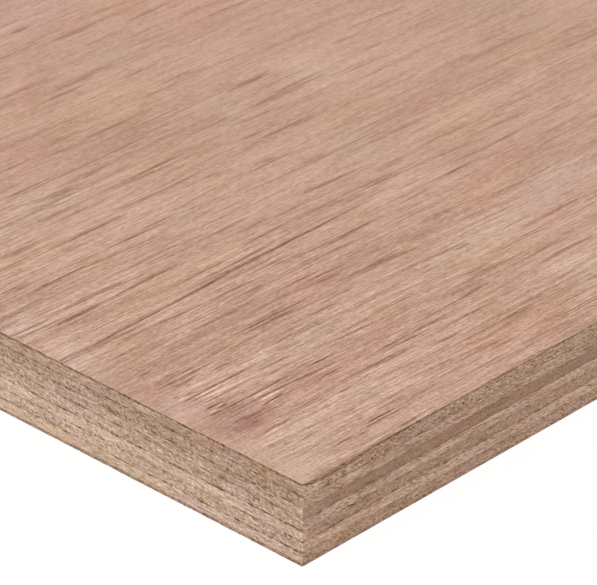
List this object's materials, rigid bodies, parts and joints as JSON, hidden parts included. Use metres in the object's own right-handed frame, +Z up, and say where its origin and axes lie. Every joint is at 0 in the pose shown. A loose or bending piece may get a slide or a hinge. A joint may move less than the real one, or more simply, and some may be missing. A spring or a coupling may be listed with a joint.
{
  "type": "plywood sheet",
  "caption": "Full sheet of hardwood-faced plywood: thin sanded face and back veneers over cross-grained core veneers, square sawn edges, lying flat.",
  "frame": {"origin": "middle of the sheet's underside, on the floor that it lies on", "axes": "+X along the sheet's length and its face grain, +Y across its width, +Z up out of the face veneer"},
  "size_m": [2.44, 1.22, 0.018],
  "materials": {
    "face_veneer": "satin",
    "cross_core": "matte",
    "long_core": "matte",
    "back_veneer": "satin"
  },
  "bodies": {
    "root": {"face_veneer": "face_veneer", "cross_core_1": "cross_core", "long_core_2": "long_core", "cross_core_3": "cross_core", "long_core_4": "long_core", "cross_core_5": "cross_core", "long_core_6": "long_core", "cross_core_7": "cross_core", "back_veneer": "back_veneer"}
  },
  "joints": []
}
